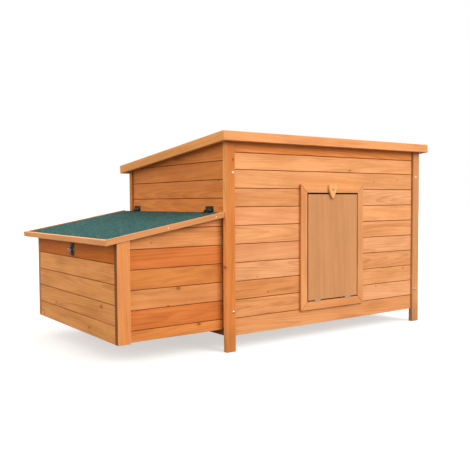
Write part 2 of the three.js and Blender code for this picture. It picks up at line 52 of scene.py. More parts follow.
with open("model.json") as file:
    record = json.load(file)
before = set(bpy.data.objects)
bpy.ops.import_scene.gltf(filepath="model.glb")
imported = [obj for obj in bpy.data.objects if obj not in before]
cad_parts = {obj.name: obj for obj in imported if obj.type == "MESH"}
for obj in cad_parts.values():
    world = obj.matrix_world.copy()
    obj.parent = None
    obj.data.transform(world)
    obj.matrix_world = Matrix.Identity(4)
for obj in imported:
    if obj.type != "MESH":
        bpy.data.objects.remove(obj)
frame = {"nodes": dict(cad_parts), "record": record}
cad_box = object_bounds()
nodes = frame["nodes"]
joints = {joint["name"]: joint for joint in frame["record"]["behaviour"]["joints"]}

X_AXIS, Y_AXIS, Z_AXIS = Vector((1, 0, 0)), Vector((0, 1, 0)), Vector((0, 0, 1))
FRONT, REAR, LEFT, RIGHT = -Y_AXIS, Y_AXIS, -X_AXIS, X_AXIS


# ---------- node graphs ----------


class Graph:
    """A node tree, written as short calls. Inputs are sockets or plain values."""

    def __init__(self, name, library=bpy.data.materials):
        self.owner = library.new(name)
        self.owner.use_nodes = True
        self.tree = self.owner.node_tree
        self.tree.nodes.clear()

    def add(self, kind, inputs=(), **settings):
        node = self.tree.nodes.new(kind)
        for key, value in settings.items():
            setattr(node, key, value)
        for key, value in dict(inputs).items():
            self.feed(node.inputs[key], value)
        return node

    def feed(self, socket, value):
        if isinstance(value, bpy.types.NodeSocket):
            self.tree.links.new(value, socket)
        elif value is not None:
            socket.default_value = value

    def attribute(self, name, output="Vector"):
        return self.add("ShaderNodeAttribute", attribute_name=name).outputs[output]

    def math(self, operation, a, b=None, c=None, clamp=False):
        node = self.add("ShaderNodeMath", operation=operation, use_clamp=clamp)
        for socket, value in zip(node.inputs, (a, b, c)):
            self.feed(socket, value)
        return node.outputs[0]

    def vector(self, operation, a, b=None, output="Vector"):
        node = self.add("ShaderNodeVectorMath", operation=operation)
        for socket, value in zip(node.inputs, (a, b)):
            self.feed(socket, value)
        return node.outputs[output]

    def split(self, vector):
        return self.add("ShaderNodeSeparateXYZ", {"Vector": vector}).outputs

    def combine(self, x, y, z):
        return self.add("ShaderNodeCombineXYZ", {"X": x, "Y": y, "Z": z}).outputs[0]

    def noise(self, vector, stretch=(1, 1, 1), detail=2.0, roughness=0.5, scale=1.0):
        stretched = self.vector("MULTIPLY", vector, stretch)
        inputs = {"Vector": stretched, "Scale": scale, "Detail": detail, "Roughness": roughness}
        return self.add("ShaderNodeTexNoise", inputs).outputs["Fac"]

    def range(self, value, low, high, to_low=0.0, to_high=1.0, smooth=True):
        kind = "SMOOTHSTEP" if smooth else "LINEAR"
        inputs = {"Value": value, "From Min": low, "From Max": high, "To Min": to_low, "To Max": to_high}
        node = self.add("ShaderNodeMapRange", inputs, interpolation_type=kind)
        return node.outputs["Result"]

    def mix(self, factor, a, b, blend="MIX"):
        node = self.add("ShaderNodeMix", data_type="RGBA", blend_type=blend)
        for socket, value in zip((node.inputs[0], node.inputs[6], node.inputs[7]), (factor, a, b)):
            self.feed(socket, (*value, 1) if isinstance(value, tuple) else value)
        return node.outputs[2]

    def bump(self, height, distance, strength=1.0, normal=None):
        inputs = {"Height": height, "Distance": distance, "Strength": strength, "Normal": normal}
        return self.add("ShaderNodeBump", inputs).outputs["Normal"]

    def surface(self, **inputs):
        keys = {key.replace("_", " "): value for key, value in inputs.items()}
        shader = self.add("ShaderNodeBsdfPrincipled", keys)
        output = self.add("ShaderNodeOutputMaterial")
        self.tree.links.new(shader.outputs[0], output.inputs["Surface"])
        return self.owner


# ---------- materials ----------


def wood(name, light, dark, knot_colour, ring=4.2 * MM, contrast=1.0, roughness=0.5, plies=0):
    """Solid wood in a board's own log: growth rings round the pith, fibres, knots and uneven stain."""
    g = Graph(name)
    log = g.attribute("log")
    _, across, depth = g.split(log)

    # knots push the rings aside and darken the middle
    push, heart, halo = 0.0, 0.0, 0.0
    for key in ("knot_a", "knot_b"):
        along_knot, across_knot, radius = g.split(g.attribute(key))
        flat = g.combine(g.math("MULTIPLY", along_knot, 0.62), across_knot, 0.0)
        ragged = g.math("MULTIPLY", g.noise(flat, (260, 260, 260)), 0.35)
        reach = g.math("DIVIDE", g.vector("LENGTH", flat, output="Value"), radius)
        reach = g.math("ADD", g.math("SUBTRACT", reach, 0.17), ragged)
        spread = g.math("POWER", 2.718, g.math("MULTIPLY", g.math("POWER", reach, 1.3), -0.9))
        push = g.math("ADD", push, g.math("MULTIPLY", spread, g.math("MULTIPLY", radius, 1.7)))
        heart = g.math("MAXIMUM", heart, g.range(reach, 1.05, 0.8))
        halo = g.math("MAXIMUM", halo, g.range(reach, 2.6, 0.9))

    wander = g.noise(log, (1.6, 14, 14), detail=1.0)
    ripple = g.noise(log, (9, 60, 60), detail=1.0)
    pith = g.vector("LENGTH", g.combine(0.0, across, depth), output="Value")
    pith = g.math("ADD", pith, g.math("MULTIPLY", wander, 16 * MM))
    pith = g.math("ADD", pith, g.math("MULTIPLY", ripple, 1.6 * MM))
    pith = g.math("ADD", pith, push)
    turns = g.math("DIVIDE", pith, ring)
    part = g.math("FRACT", turns)
    late = g.math("MULTIPLY", g.range(part, 0.25, 0.86), g.range(part, 1.0, 0.9))
    year = g.noise(g.combine(g.math("FLOOR", turns), 0.0, 0.0), (7.3, 1, 1), detail=0.0)
    late = g.math("MULTIPLY", late, g.range(year, 0.3, 0.7, 0.25, 1.0))

    fibre = g.noise(log, (16, 950, 950), detail=3.0, roughness=0.65)
    streak = g.noise(log, (3.2, 190, 190), detail=2.0)
    cloud = g.noise(log, (5, 21, 21), detail=2.5)
    dash = g.range(g.noise(log, (42, 620, 620), detail=1.0), 0.69, 0.76)

    shade = g.math("MULTIPLY", late, 0.42 * contrast)
    shade = g.math("ADD", shade, g.range(streak, 0.35, 0.7, 0.0, 0.27 * contrast))
    shade = g.math("ADD", shade, g.range(fibre, 0.3, 0.75, 0.0, 0.25 * contrast))
    shade = g.math("ADD", shade, g.range(cloud, 0.35, 0.72, -0.05, 0.33 * contrast))
    colour = g.mix(g.math("MINIMUM", shade, 1.0), light, dark)
    colour = g.mix(g.math("MULTIPLY", dash, 0.2 * contrast), colour, knot_colour)
    colour = g.mix(g.math("MULTIPLY", halo, 0.55), colour, dark)
    rings = g.range(g.math("FRACT", g.math("MULTIPLY", turns, 2.0)), 0.2, 0.8, 0.75, 1.0)
    colour = g.mix(g.math("MULTIPLY", g.math("MULTIPLY", heart, rings), 0.8), colour, knot_colour)

    # grey-green mineral stain in broad soft clouds
    stain = g.attribute("stain", "Fac")
    patch = g.range(g.noise(log, (7, 38, 38), detail=2.5), 0.5, 0.68)
    colour = g.mix(g.math("MULTIPLY", patch, stain), colour, (0.62, 0.6, 0.5), "MULTIPLY")

    colour = g.mix(1.0, colour, g.attribute("tint", "Color"), "MULTIPLY")
    if plies:
        layer = g.math("MULTIPLY", g.attribute("ply", "Fac"), plies)
        dark_layer = g.range(g.math("PINGPONG", layer, 1.0), 0.45, 0.6)
        colour = g.mix(dark_layer, colour, (0.55, 0.42, 0.34), "MULTIPLY")

    # stain gathers in joints (negative edge) and rubs off outer edges (positive). The lighter rims are worn stain plus
    # a painted highlight along the edges; the darker rims are stain in the wall joints plus painted contact shadow
    # round the door frame.
    edge = g.attribute("edge", "Fac")
    rub_and_highlight = g.math("MULTIPLY", g.range(edge, 0.25, 1.0), g.range(cloud, 0.35, 0.6, 0.15, 0.6))
    colour = g.mix(rub_and_highlight, colour, (0.93, 0.64, 0.38))
    colour = g.mix(g.range(edge, -0.1, -0.9, 0.0, 0.55), colour, (0.5, 0.3, 0.16), "MULTIPLY")

    gloss = g.math("ADD", roughness, g.math("MULTIPLY", g.math("SUBTRACT", fibre, 0.5), 0.35))
    gloss = g.math("ADD", gloss, g.math("MULTIPLY", late, -0.08))
    relief = g.math("ADD", g.math("MULTIPLY", fibre, 0.6), g.math("MULTIPLY", late, 0.5))
    relief = g.math("SUBTRACT", relief, g.math("MULTIPLY", dash, 0.6))
    normal = g.bump(relief, 0.16 * MM)
    return g.surface(Base_Color=colour, Roughness=gloss, Normal=normal, Specular_IOR_Level=0.14,
                     Specular_Tint=(1.0, 0.8, 0.6, 1.0))


def felt(name):
    """Mineral felt: crushed slate in bitumen, each grain its own green."""
    g = Graph(name)
    place = g.add("ShaderNodeTexCoord").outputs["Object"]
    grain = g.add("ShaderNodeTexVoronoi", {"Vector": place, "Scale": 620.0, "Randomness": 1.0})
    cell = g.split(grain.outputs["Color"])
    colour = g.mix(g.range(cell[0], 0.0, 1.0), (0.0094, 0.055, 0.05), (0.029, 0.14, 0.127))
    colour = g.mix(g.range(cell[1], 0.88, 0.96), colour, (0.17, 0.31, 0.29))
    colour = g.mix(g.range(cell[2], 0.9, 0.98), colour, (0.008, 0.02, 0.018))
    patch = g.noise(place, (9, 9, 9), detail=4.0, roughness=0.6)
    colour = g.mix(g.range(patch, 0.35, 0.7, 0.0, 0.45), colour, (0.75, 0.8, 0.78), "MULTIPLY")
    mottle = g.noise(place, (90, 90, 90), detail=5.0, roughness=0.8)
    colour = g.mix(g.range(mottle, 0.44, 0.57, 1.0, 0.0), colour, (0.4, 0.55, 0.55), "MULTIPLY")
    fleck = g.noise(place, (120, 120, 120), detail=3.0, roughness=0.75)
    colour = g.mix(g.range(fleck, 0.54, 0.68, 0.0, 0.65), colour, (0.07, 0.32, 0.32))
    height = g.math("SUBTRACT", g.math("MULTIPLY", mottle, 0.6), grain.outputs["Distance"])
    normal = g.bump(height, 0.5 * MM, 0.9)
    return g.surface(Base_Color=colour, Roughness=0.92, Normal=normal, Specular_IOR_Level=0.25)


def metal(name, colour, dull, roughness, worn=0.0, metallic=1.0):
    """Plated or lacquered steel with mottled plating, fine scratches and wear."""
    g = Graph(name)
    place = g.add("ShaderNodeTexCoord").outputs["Object"]
    spangle = g.add("ShaderNodeTexVoronoi", {"Vector": place, "Scale": 420.0}).outputs["Color"]
    blot = g.noise(place, (140, 140, 140), detail=4.0, roughness=0.65)
    scratch = g.noise(place, (220, 1900, 2600), detail=2.0)
    tone = g.mix(g.range(blot, 0.35, 0.7), colour, dull)
    tone = g.mix(g.math("MULTIPLY", g.split(spangle)[0], 0.25), tone, dull)
    bare = g.range(g.math("ADD", blot, g.math("MULTIPLY", scratch, 0.5)), 0.86, 0.95, 0.0, worn)
    tone = g.mix(bare, tone, (0.62, 0.6, 0.56))
    gloss = g.math("ADD", roughness, g.range(blot, 0.3, 0.75, -0.08, 0.16))
    shine = g.math("MAXIMUM", metallic, bare)
    normal = g.bump(g.math("ADD", blot, g.math("MULTIPLY", scratch, 0.4)), 0.05 * MM)
    return g.surface(Base_Color=tone, Roughness=gloss, Metallic=shine, Normal=normal)


def floor_material():
    g = Graph("floor_pale")
    place = g.add("ShaderNodeTexCoord").outputs["Object"]
    tone = g.mix(g.noise(place, (3, 3, 3)), (0.55, 0.55, 0.55), (0.57, 0.57, 0.57))
    return g.surface(Base_Color=tone, Roughness=0.95, Specular_IOR_Level=0.1, Emission_Color=tone,
                     Emission_Strength=0.95)


STAINED = wood("stained_fir", (0.80, 0.36, 0.148), (0.56, 0.21, 0.072), (0.24, 0.07, 0.02))
PLYWOOD = wood("plywood", (0.58, 0.271, 0.116), (0.388, 0.175, 0.07), (0.3, 0.12, 0.05),
               ring=23 * MM, contrast=0.55, roughness=0.58, plies=6)
BARE = wood("inner_wood", (0.66, 0.43, 0.235), (0.47, 0.26, 0.115), (0.1, 0.04, 0.02), roughness=0.68)
BARE_PLY = wood("inner_plywood", (0.62, 0.4, 0.22), (0.45, 0.26, 0.125), (0.16, 0.07, 0.03),
                ring=9 * MM, contrast=0.8, roughness=0.7, plies=6)
FELT = felt("green_felt")
ZINC = metal("zinc", (0.66, 0.65, 0.63), (0.36, 0.35, 0.33), 0.38)
# pale cream zinc, lighter than the plain zinc: a painted reflection of the lamp on the upper post screws; the lid trim
# nails use it too
PALE_ZINC_GLINT = metal("pale_zinc_glint", (0.95, 0.84, 0.62), (0.85, 0.7, 0.45), 0.5, metallic=0.25)
BRASS = metal("brass_screw", (0.72, 0.46, 0.2), (0.45, 0.26, 0.1), 0.42, metallic=0.6)
DARK = metal("dark_steel", (0.03, 0.03, 0.025), (0.012, 0.012, 0.01), 0.38, worn=0.6, metallic=0.6)


# ---------- boards ----------


def solid_from_node(node):
    """A node's mesh as a clean bmesh, with one face for each flat side."""
    bm = bmesh.new()
    bm.from_mesh(nodes[node].data)
    bmesh.ops.remove_doubles(bm, verts=bm.verts, dist=0.02 * MM)
    bmesh.ops.dissolve_limit(bm, angle_limit=math.radians(1), verts=bm.verts, edges=bm.edges)
    return bm


def solid_from_outline(corners, push):
    """A prism: the corners' face and its copy, moved by push."""
    bm = bmesh.new()
    near = [bm.verts.new(c) for c in corners]
    far = [bm.verts.new(c + push) for c in corners]
    bm.faces.new(near)
    bm.faces.new(far[::-1])
    for i, vert in enumerate(near):
        k = (i + 1) % len(near)
        bm.faces.new((near[k], vert, far[i], far[k]))
    bmesh.ops.recalc_face_normals(bm, faces=bm.faces)
    return bm


def longest_edge(bm):
    edge = max(bm.edges, key=lambda e: e.calc_length())
    way = (edge.verts[1].co - edge.verts[0].co).normalized()
    return way if way.x + way.y + way.z > 0 else -way


def bevel_sharp(bm, width, segments=2):
    sharp = [e for e in bm.edges if len(e.link_faces) == 2 and e.calc_face_angle() > math.radians(20)]
    bmesh.ops.bevel(bm, geom=sharp, offset=width, segments=segments, profile=0.5, affect="EDGES",
                    clamp_overlap=True)


def finish_piece(mesh, name, material, body, replaced=()):
    for polygon in mesh.polygons:
        polygon.use_smooth = True
    mesh.materials.append(material)
    piece = bpy.data.objects.new(name, mesh)
    bpy.context.scene.collection.objects.link(piece)
    flat = piece.modifiers.new("even_normals", "WEIGHTED_NORMAL")
    flat.weight = 100
    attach(piece, body)
    if replaced:
        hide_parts(*replaced)
    return piece


class Timber:
    """Gathers boards into one mesh. Every vertex knows its place in its board's log."""

    KEYS = {"log": 3, "knot_a": 3, "knot_b": 3, "tint": 3, "edge": 1, "stain": 1, "ply": 1}
    NO_KNOT = (9.0, 9.0, 1.0)

    def __init__(self, seed):
        self.rng = random.Random(seed)
        self.points, self.faces = [], []
        self.values = {key: [] for key in self.KEYS}

    def add(self, bm, along, out, tint=(1, 1, 1), stain=0.0, edge=1.0, bevel=1.0 * MM,
            cut_every=0.0, wobble=0.0, knots=None, quarter=False, side=None, foot=None):
        rng = self.rng
        u = along.normalized()
        w = (out - u * out.dot(u)).normalized()
        v = w.cross(u)
        planes = [(f.calc_center_median(), f.normal.copy()) for f in bm.faces]
        middle = sum((vert.co for vert in bm.verts), Vector()) / len(bm.verts)
        ends = [(vert.co - middle).dot(u) for vert in bm.verts]
        sides = [(vert.co - middle).dot(v) for vert in bm.verts]
        backs = [(vert.co - middle).dot(w) for vert in bm.verts]
        if cut_every:
            place = min(ends) + cut_every
            while place < max(ends) - cut_every / 2:
                bmesh.ops.bisect_plane(bm, geom=bm.verts[:] + bm.edges[:] + bm.faces[:],
                                       plane_co=middle + u * place, plane_no=u)
                place += cut_every
        bevel_sharp(bm, bevel)

        if quarter:
            heart = (rng.uniform(70, 120) * MM, rng.uniform(-15, 15) * MM)
        else:
            heart = (rng.uniform(-28, 28) * MM, -rng.uniform(30, 75) * MM)
        lean = (rng.uniform(-0.05, 0.05), rng.uniform(-0.035, 0.035))
        shift = rng.uniform(0, 60)
        if knots is None:
            knots = self.random_knots(min(ends), max(ends), min(sides), max(sides))
        else:
            knots = [((spot - middle).dot(u), (spot - middle).dot(v), size) for spot, size in knots]
        knots = [*knots, None, None][:2]

        start = len(self.points)
        bm.verts.index_update()
        for vert in bm.verts:
            rim = not any(abs((vert.co - at).dot(normal)) < 1e-6 for at, normal in planes)
            place = vert.co - middle
            a, b, c = place.dot(u), place.dot(v), place.dot(w)
            if wobble:
                sway = noise.noise(Vector((a * 9 + shift, b * 30, 0.5)))
                vert.co += v * sway * wobble - w * abs(noise.noise(Vector((a * 5, shift, 3)))) * wobble
            self.points.append(tuple(vert.co))
            self.values["log"] += (a + shift, b + heart[0] + a * lean[0], c + heart[1] + a * lean[1])
            for key, knot in zip(("knot_a", "knot_b"), knots):
                self.values[key] += (a - knot[0], b - knot[1], knot[2]) if knot else self.NO_KNOT
            # a face turned towards side[0] takes the tint side[1] instead: a lighter copy on one post and a darker one
            # on another, painted light and shade
            on_side = side and any(abs((vert.co - at).dot(normal)) < 1e-6 and normal.dot(side[0]) > 0.9
                                   for at, normal in planes)
            shade = foot[1] if foot and vert.co.z < foot[0] else 1.0
            self.values["tint"] += [value * shade for value in (side[1] if on_side else tint)]
            self.values["edge"].append(edge if rim else 0.0)
            self.values["stain"].append(stain)
            self.values["ply"].append((c - min(backs)) / (max(backs) - min(backs)))
        self.faces += [[start + vert.index for vert in face.verts] for face in bm.faces]
        bm.free()

    def random_knots(self, a0, a1, b0, b1):
        rng = self.rng
        chance = rng.random()
        count = 0 if chance < 0.85 else 1
        return [(rng.uniform(a0, a1) * 0.9, rng.uniform(b0, b1) * 0.85, rng.uniform(1.6, 4.0) * MM)
                for _ in range(count)]

    def piece(self, name, material, body, replaced, slot):
        mesh = bpy.data.meshes.new(name)
        mesh.from_pydata(self.points, [], self.faces)
        for key, width in self.KEYS.items():
            kind, field = ("FLOAT", "value") if width == 1 else ("FLOAT_VECTOR", "vector")
            mesh.attributes.new(key, kind, "POINT").data.foreach_set(field, self.values[key])
        mesh.validate()
        return finish_piece(mesh, name, material, body, replaced)


def vary(rng, amount=0.06, base=(1.0, 1.0, 1.0)):
    """A tint near base: lighter or darker, and redder or yellower."""
    value = 1 + rng.uniform(-amount, amount)
    warm = rng.uniform(-amount, amount)
    return (base[0] * value, base[1] * value * (1 + warm), base[2] * value * (1 + 2.2 * warm))


def timber(names, material, body, slot, out, seed, base=(1, 1, 1), bevel=1.2 * MM, along=None, **board):
    """Bevelled boards in place of CAD nodes, one piece each."""
    for i, node in enumerate(names):
        stock = Timber(seed * 101 + i)
        bm = solid_from_node(node)
        direction = along or longest_edge(bm)
        facing = out[i] if isinstance(out, list) else out
        tone = base[i] if isinstance(base, list) else base
        settings = {"tint": vary(stock.rng, 0.04, tone), "bevel": bevel, **board}
        stock.add(bm, direction, facing, **settings)
        stock.piece(f"{node}_timber", material, body, [node], slot)


# ---------- walls of separate boards ----------


class Wall:
    """A CAD wall's outline, joints and holes, read from its mesh. s runs along the wall."""

    JOINT_GAP = 2.0 * MM
    END_GAP = 2.2 * MM

    def __init__(self, node, out, rise=0.0):
        self.node, self.out = node, out
        self.axis = 0 if abs(out.y) > 0.5 else 1
        deep = 1 - self.axis
        low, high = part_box(node)
        sign = out[deep]
        self.face = low[deep] if sign < 0 else high[deep]
        self.thick = high[deep] - low[deep]
        self.low, self.high = low, high
        points = [v.co for v in nodes[node].data.vertices]
        depth = [abs(p[deep] - self.face) for p in points]
        groove = [p.z for p, d in zip(points, depth) if 2 * MM < d < 3 * MM]
        self.joints = sorted({round(z, 5) for z in groove})
        self.tops = [max(p.z for p in points if abs(p[self.axis] - end) < MM) + rise
                     for end in (low[self.axis], high[self.axis])]
        self.holes = self.find_holes([p for p, d in zip(points, depth) if d > self.thick - MM])

    def find_holes(self, back):
        s0, s1 = self.low[self.axis], self.high[self.axis]
        inside = [p for p in back if s0 + MM < p[self.axis] < s1 - MM]
        marks = sorted({round(p[self.axis], 5) for p in inside})
        heights = sorted({round(p.z, 5) for p in inside})
        return [(marks[i], marks[i + 1], heights[0], heights[-1]) for i in range(0, len(marks), 2)]

    def at(self, s, z, depth):
        place = Vector((0, 0, z))
        place[self.axis] = s
        place[1 - self.axis] = self.face
        return place - self.out * depth

    def rows(self):
        """Rectangles (s0, s1, z0, z1) of each row, with the boards cut at the holes."""
        s0, s1 = self.low[self.axis], self.high[self.axis]
        levels = [self.low.z, *self.joints, max(self.tops)]
        for z0, z1 in zip(levels, levels[1:]):
            crossing = [h for h in self.holes if h[2] < z1 - MM and h[3] > z0 + MM]
            cells, start = [], s0
            for left, right, low, high in crossing:
                cells.append((start, left, z0, z1))
                start = right
            cells.append((start, s1, z0, z1))
            for left, right, low, high in crossing:
                if low > z0 + 4 * MM:
                    cells.append((left, right, z0, low))
                if high < z1 - 4 * MM:
                    cells.append((left, right, high, z1))
            yield cells

    def under_top(self, outline):
        """The outline, cut off under the wall's sloping top."""
        s0, s1 = self.low[self.axis], self.high[self.axis]

        def spare(point):
            share = (point[0] - s0) / (s1 - s0)
            return self.tops[0] + (self.tops[1] - self.tops[0]) * share - point[1]

        kept = []
        for i, point in enumerate(outline):
            before = outline[i - 1]
            if (spare(point) >= 0) != (spare(before) >= 0):
                t = spare(before) / (spare(before) - spare(point))
                kept.append(tuple(a + (b - a) * t for a, b in zip(before, point)))
            if spare(point) >= 0:
                kept.append(point)
        return kept

    def build(self, name, tints, seed, base=(1, 1, 1), stains=None, knots=None):
        stock = Timber(seed)
        rng = stock.rng
        along = X_AXIS if self.axis == 0 else Y_AXIS
        gap = self.JOINT_GAP / 2
        ends = self.low[self.axis], self.high[self.axis]
        for r, cells in enumerate(self.rows()):
            for c, (s0, s1, z0, z1) in enumerate(cells):
                low = z0 + (gap if r else 0)
                s0 += self.END_GAP if s0 == ends[0] else 0
                s1 -= self.END_GAP if s1 == ends[1] else 0
                outline = self.under_top([(s0, low), (s1, low), (s1, z1 - gap), (s0, z1 - gap)])
                height = max(p[1] for p in outline) - low if outline else 0
                if len(outline) < 3 or height < 3 * MM:
                    continue
                back = rng.uniform(0, 0.35) * MM
                corners = [self.at(s, z, back) for s, z in outline]
                bm = solid_from_outline(corners, -self.out * (self.thick - 0.5 * MM - back))
                given = tints[r][c] if tints and r < len(tints) and c < len(tints[r]) else vary(rng, 0.07, base)
                own = None if knots is None else [
                    (self.at(s0 + (s1 - s0) * share, z0 + (z1 - z0) * rise, 0), size * MM)
                    for share, rise, size in knots.get((r, c), [])]
                stock.add(bm, along, self.out, tint=given, edge=-1.0, bevel=1.15 * MM, cut_every=0.07,
                          stain=(stains or {}).get((r, c), rng.choice((0, 0, 0.25, 0.5))), wobble=0.3 * MM,
                          knots=own, quarter=rng.random() < 0.25)
            # the tongue that closes the joint over this row, and the fillets behind its two ends. Both are tinted dark,
            # painted shade for the gaps they show through.
            for end, way in zip(ends, (1, -1)):
                inner = end + way * (self.END_GAP + 2 * MM)
                z0, z1 = cells[0][2], cells[0][3]
                fillet = self.under_top([(min(end, inner), z0), (max(end, inner), z0), (max(end, inner), z1),
                                         (min(end, inner), z1)])
                if len(fillet) > 2:
                    bm = solid_from_outline([self.at(s, h, 3.2 * MM) for s, h in fillet], -self.out * 3 * MM)
                    stock.add(bm, Z_AXIS, self.out, tint=(0.2, 0.14, 0.1), bevel=0.2 * MM, knots=[])
            if r < len(self.joints):
                z = self.joints[r]
                for s0, s1, z0, z1 in cells:
                    if abs(z1 - z) < MM:
                        strip = self.under_top([(s0, z - 2 * MM), (s1, z - 2 * MM), (s1, z + 2 * MM), (s0, z + 2 * MM)])
                        if len(strip) > 2:
                            corners = [self.at(s, h, 3.2 * MM) for s, h in strip]
                            bm = solid_from_outline(corners, -self.out * 3 * MM)
                            stock.add(bm, along, self.out, tint=(0.3, 0.22, 0.16), bevel=0.2 * MM, knots=[])
        return stock.piece(name, STAINED, "house", [self.node], "stained_fir")


# ---------- metal pieces ----------


class Smith:
    """Gathers metal shapes into one mesh."""

    def __init__(self):
        self.bm = bmesh.new()

    def merge(self, other):
        mesh = bpy.data.meshes.new("part")
        other.to_mesh(mesh)
        self.bm.from_mesh(mesh)
        bpy.data.meshes.remove(mesh)
        other.free()

    def plate(self, origin, x, y, z, size_x, y0, y1, z0, z1, corner=2.0 * MM):
        """A plate with rounded far corners, in the frame x, y, z at origin."""
        outline = [(-size_x / 2, y0), (size_x / 2, y0)]
        for side in (1, -1):
            middle = (side * (size_x / 2 - corner), y1 - corner)
            turns = range(0, 7) if side > 0 else range(6, -1, -1)
            for k in turns:
                angle = math.pi / 2 * k / 6
                outline.append((middle[0] + side * corner * math.cos(angle), middle[1] + corner * math.sin(angle)))
        corners = [origin + x * a + y * b + z * z0 for a, b in outline]
        bm = solid_from_outline(corners, z * (z1 - z0))
        bevel_sharp(bm, 0.18 * MM, 2)
        self.merge(bm)

    def barrel(self, centre, axis, radius, length, chamfer=0.3 * MM, sides=28):
        """A round knuckle or pin with broken edges."""
        profile = [(0, -length / 2), (radius - chamfer, -length / 2), (radius, -length / 2 + chamfer),
                   (radius, length / 2 - chamfer), (radius - chamfer, length / 2), (0, length / 2)]
        self.lathe(centre, axis, profile, sides)

    def lathe(self, centre, axis, profile, sides=28):
        side = axis.orthogonal().normalized()
        up = axis.cross(side)
        bm = bmesh.new()
        rings = []
        for radius, height in profile:
            if radius == 0:
                rings.append([bm.verts.new(centre + axis * height)] * sides)
                continue
            ring = []
            for k in range(sides):
                angle = 2 * math.pi * k / sides
                spot = side * math.cos(angle) * radius + up * math.sin(angle) * radius
                ring.append(bm.verts.new(centre + axis * height + spot))
            rings.append(ring)
        for lower, upper in zip(rings, rings[1:]):
            for k in range(sides):
                n = (k + 1) % sides
                quad = [lower[k], lower[n], upper[n], upper[k]]
                corners = list(dict.fromkeys(quad))
                bm.faces.new(corners)
        bmesh.ops.recalc_face_normals(bm, faces=bm.faces)
        self.merge(bm)

    def screw(self, centre, out, radius, height, turn=0.3, recess=0.75):
        """A domed cross-head screw whose rim lies on the surface."""
        side = out.orthogonal().normalized()
        up = out.cross(side)
        rings, sides = 12, 48
        bm = bmesh.new()
        top = bm.verts.new(centre + out * height * (1 - recess))
        last = [top] * sides
        for r in range(1, rings + 1):
            share = r / rings
            ring = []
            for k in range(sides):
                angle = 2 * math.pi * k / sides
                a, b = share * math.cos(angle + turn), share * math.sin(angle + turn)
                rise = math.sqrt(max(0.0, 1 - share ** 2.6))
                if share < 0.62 and min(abs(a), abs(b)) < 0.13:
                    rise -= recess
                spot = (side * math.cos(angle) + up * math.sin(angle)) * share * radius
                ring.append(bm.verts.new(centre + spot + out * height * rise))
            for k in range(sides):
                n = (k + 1) % sides
                bm.faces.new(list(dict.fromkeys((last[k], ring[k], ring[n], last[n]))))
            last = ring
        bm.faces.new(last[::-1])
        bmesh.ops.recalc_face_normals(bm, faces=bm.faces)
        self.merge(bm)

    def piece(self, name, material, body, replaced=(), slot=None):
        mesh = bpy.data.meshes.new(name)
        bmesh.ops.recalc_face_normals(self.bm, faces=self.bm.faces)
        self.bm.to_mesh(mesh)
        self.bm.free()
        piece = finish_piece(mesh, name, material, body, replaced)
        mesh.set_sharp_from_angle(angle=math.radians(38))
        piece.modifiers["even_normals"].keep_sharp = True
        return piece


def hinge_half(name, node, body, origin, x, y, z, width, length, barrel, leaf, outer, material, slot, screws):
    """A hinge leaf: knuckles round the pin along x, a plate along y, on the z side of the pin."""
    smith = Smith()
    smith.plate(origin, x, y, z, width, barrel + 0.5 * MM, length, barrel - leaf, barrel)
    spans = [(-0.5, -0.2), (0.2, 0.5)] if outer else [(-0.2, 0.2)]
    for low, high in spans:
        middle, long = (low + high) / 2 * width, (high - low) * width - 0.4 * MM
        smith.barrel(origin + x * middle, x, barrel, long)
        edge = origin + x * middle
        smith.plate(edge, x, y, z, long, 0, barrel + 1.5 * MM, barrel - leaf, barrel, corner=0.1 * MM)
    if outer:
        smith.barrel(origin, x, barrel * 0.45, width - 0.8 * MM)
    for share, along, radius in screws:
        smith.screw(origin + x * width * share + y * along + z * (barrel - leaf), -z, radius, radius * 0.32,
                    turn=share * 9 + along * 300)
    return smith.piece(name, material, body, [node], slot)


# ---------- slopes and directions read from the frame ----------


def flat_top(node):
    """The four corners of a sheet's upper face, in order round it."""
    bm = solid_from_node(node)
    face = max(bm.faces, key=lambda f: f.normal.z * f.calc_area())
    corners = [v.co.copy() for v in face.verts]
    bm.free()
    return corners


def plane_of(corners):
    return (corners[1] - corners[0]).cross(corners[2] - corners[0]).normalized()


roof_up = plane_of(flat_top("roof_felt"))
lid_up = plane_of(flat_top("lid_felt"))
roof_back = X_AXIS.cross(roof_up) * -1
lid_out = Y_AXIS.cross(lid_up) * -1
if roof_back.y < 0:
    roof_back = -roof_back
if lid_out.x > 0:
    lid_out = -lid_out


# ---------- walls ----------

# tones of stained fir, as multipliers of the stain's own colour. The last four carry painted light and shade: a lighter
# copy for faces turned to the left, the warm shade of boards under the roof's overhang, a darker board with the lid's
# shadow painted on, and plain painted shade.
PALE = (1.02, 1.08, 1.2)
HONEY = (1.0, 1.02, 1.0)
ROSE = (0.99, 0.98, 1.05)
TAN = (0.93, 0.9, 0.84)
UMBER = (0.87, 0.79, 0.65)
AMBER = (0.85, 0.68, 0.43)
RUST = (0.82, 0.55, 0.33)
LEFT_FACE_LIT = (1.07, 1.06, 0.82)
WARM_ROOF_SHADE = (1.1, 0.84, 0.5)
DARK_BOARD_LID_SHADE = (0.83, 0.52, 0.1)
SHADED = (0.3, 0.22, 0.14)


def lit(tone, light):
    return tuple(value * light for value in tone)


